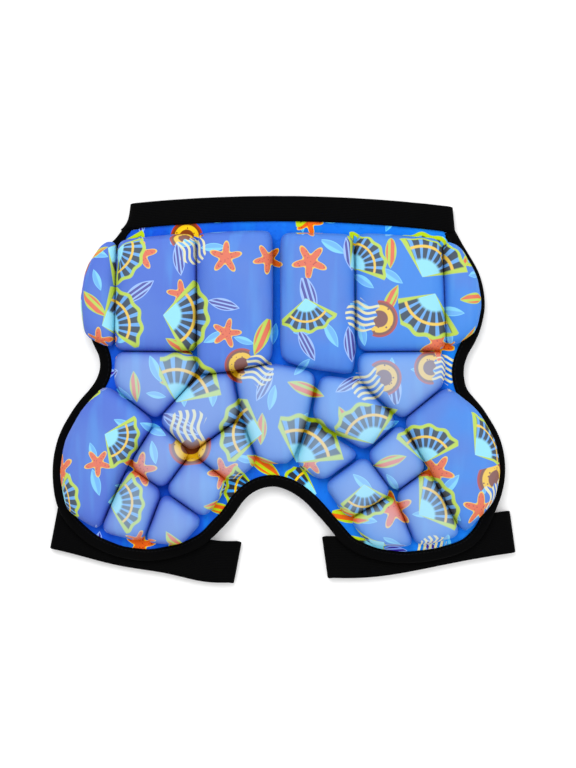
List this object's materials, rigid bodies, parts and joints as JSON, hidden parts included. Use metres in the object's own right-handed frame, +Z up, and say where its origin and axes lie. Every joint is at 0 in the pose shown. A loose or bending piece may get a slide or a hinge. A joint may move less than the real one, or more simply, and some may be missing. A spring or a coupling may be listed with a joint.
{
  "type": "tailbone protector",
  "caption": "Child's padded hip and tailbone protector: a bound blue printed panel with 23 foam pads, an elastic waistband and two elastic leg loops, lying flat.",
  "frame": {"origin": "under the middle of the whole protector, on the surface that it lies on", "axes": "+Z up, away from the surface, out of the pads; +Y from the leg loops to the waistband; +X to the right when seen from above with the waistband away"},
  "size_m": [0.3668, 0.3048, 0.0305],
  "materials": {
    "printed_cloth": "knitted printed cloth over foam, matt",
    "panel_cloth": "knitted printed cloth, flat, matt",
    "black_binding": "folded woven tape, matt black",
    "black_elastic": "ribbed knitted elastic, matt black"
  },
  "bodies": {
    "root": {"pad_wing_left": "printed_cloth", "pad_hip_left": "printed_cloth", "pad_seat_left": "printed_cloth", "pad_flank_left": "printed_cloth", "pad_buttock_left": "printed_cloth", "pad_fork_left": "printed_cloth", "pad_lobe_left": "printed_cloth", "pad_thigh_upper_left": "printed_cloth", "pad_thigh_inner_left": "printed_cloth", "pad_thigh_lower_left": "printed_cloth", "pad_thigh_hem_left": "printed_cloth", "pad_wing_right": "printed_cloth", "pad_hip_right": "printed_cloth", "pad_seat_right": "printed_cloth", "pad_flank_right": "printed_cloth", "pad_buttock_right": "printed_cloth", "pad_fork_right": "printed_cloth", "pad_lobe_right": "printed_cloth", "pad_thigh_upper_right": "printed_cloth", "pad_thigh_inner_right": "printed_cloth", "pad_thigh_lower_right": "printed_cloth", "pad_thigh_hem_right": "printed_cloth", "pad_tailbone": "printed_cloth", "back_panel": "panel_cloth", "edge_binding": "black_binding", "waistband": "black_elastic", "leg_strap_left": "black_elastic", "leg_strap_right": "black_elastic"}
  },
  "joints": []
}
